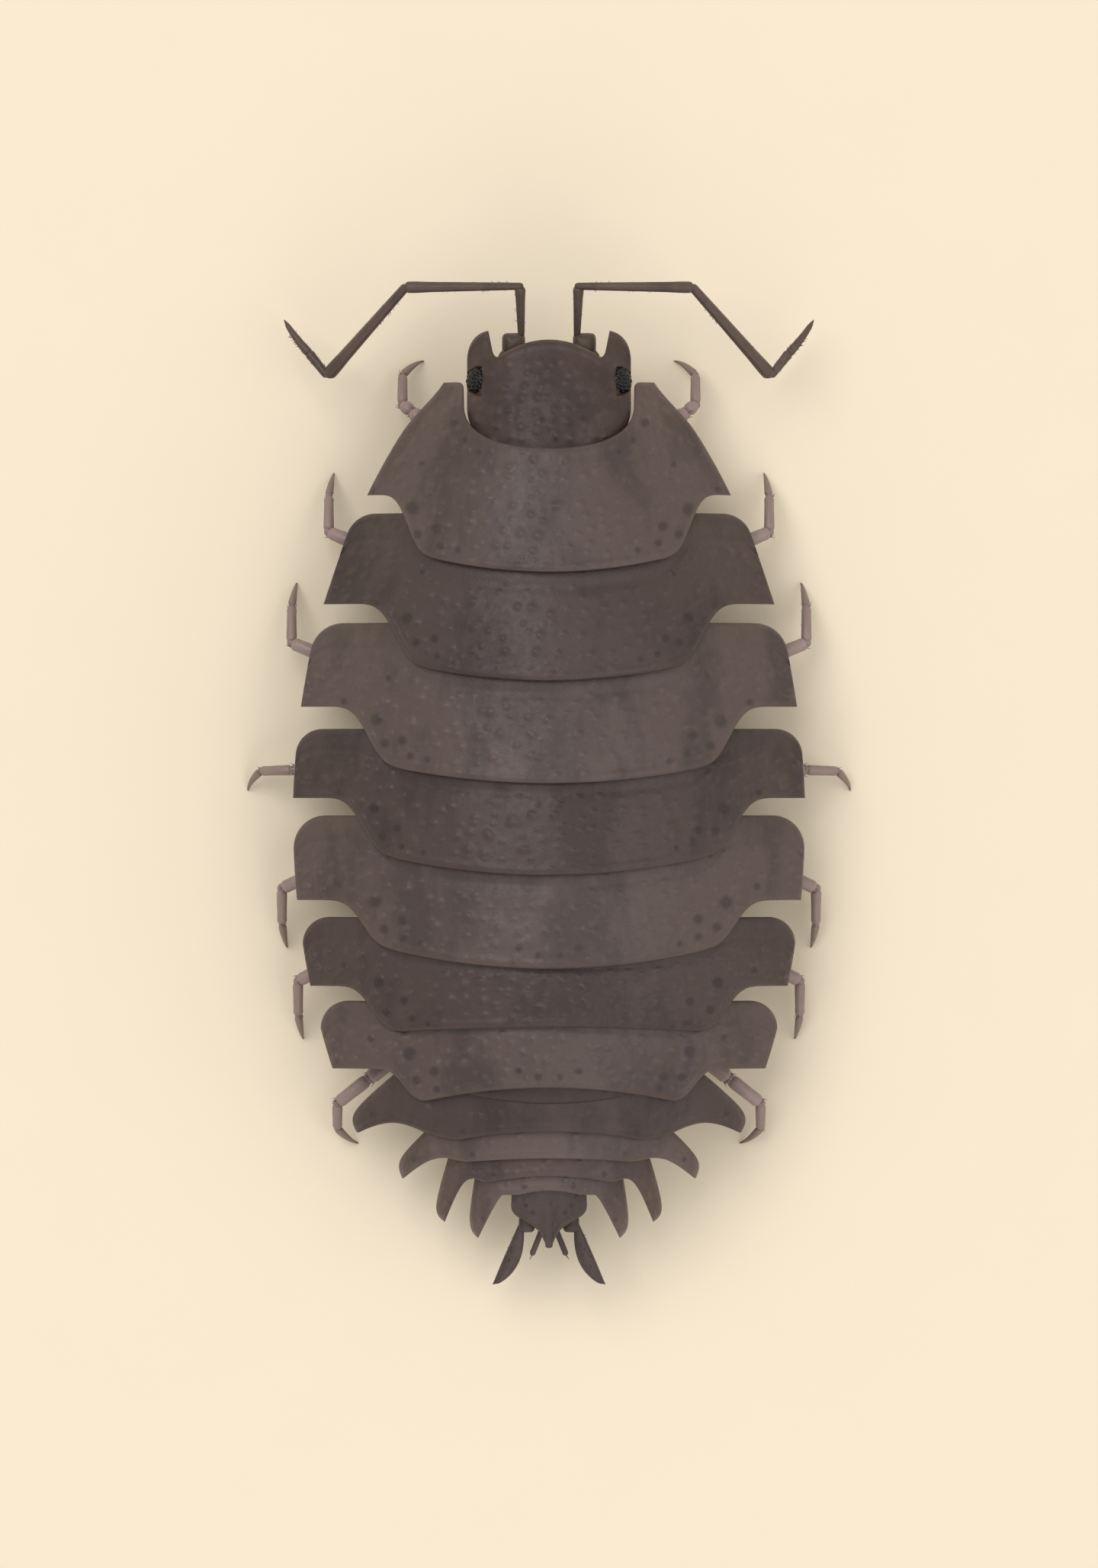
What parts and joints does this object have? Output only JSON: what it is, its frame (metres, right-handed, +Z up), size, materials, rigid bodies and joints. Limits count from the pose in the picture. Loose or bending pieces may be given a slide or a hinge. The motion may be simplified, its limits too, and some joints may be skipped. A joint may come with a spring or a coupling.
{
  "type": "woodlouse",
  "caption": "Life-size still model of a common woodlouse walking on level ground, with overlapping back plates, elbowed antennae and forked tail.",
  "frame": {"origin": "centre of the bounding box in plan, on the floor that the feet rest on", "axes": "+Y forward to the antennae, +X to the animal's right, +Z up"},
  "size_m": [0.0114, 0.0186, 0.0045],
  "materials": {
    "plates_light": "slightly glossy chitin, warm grey brown, with darker mottling",
    "plates_dark": "slightly glossy chitin, dark grey brown",
    "head": "granular chitin, dark grey brown",
    "eyes": "glossy black facets",
    "legs": "translucent pale grey chitin with a faint gloss",
    "antennae": "brown chitin with short bristles",
    "belly": "pale soft cuticle of the underside"
  },
  "bodies": {
    "root": {"antenna_left_article_4": "antennae", "antenna_left_article_5": "antennae", "antenna_left_base": "antennae", "antenna_left_whip": "antennae", "antenna_right_article_4": "antennae", "antenna_right_article_5": "antennae", "antenna_right_base": "antennae", "antenna_right_whip": "antennae", "eye_left": "eyes", "eye_right": "eyes", "head": "head", "leg_left_1": "legs", "leg_left_2": "legs", "leg_left_3": "legs", "leg_left_4": "legs", "leg_left_5": "legs", "leg_left_6": "legs", "leg_left_7": "legs", "leg_right_1": "legs", "leg_right_2": "legs", "leg_right_3": "legs", "leg_right_4": "legs", "leg_right_5": "legs", "leg_right_6": "legs", "leg_right_7": "legs", "mouthparts": "belly", "pereonite_1": "plates_light", "pereonite_2": "plates_dark", "pereonite_3": "plates_light", "pereonite_4": "plates_dark", "pereonite_5": "plates_light", "pereonite_6": "plates_dark", "pereonite_7": "plates_light", "pleonite_1": "plates_light", "pleonite_2": "plates_dark", "pleonite_3": "plates_light", "pleonite_4": "plates_dark", "pleonite_5": "plates_light", "pleopods": "belly", "telson": "plates_dark", "uropod_left": "plates_dark", "uropod_right": "plates_dark"}
  },
  "joints": []
}
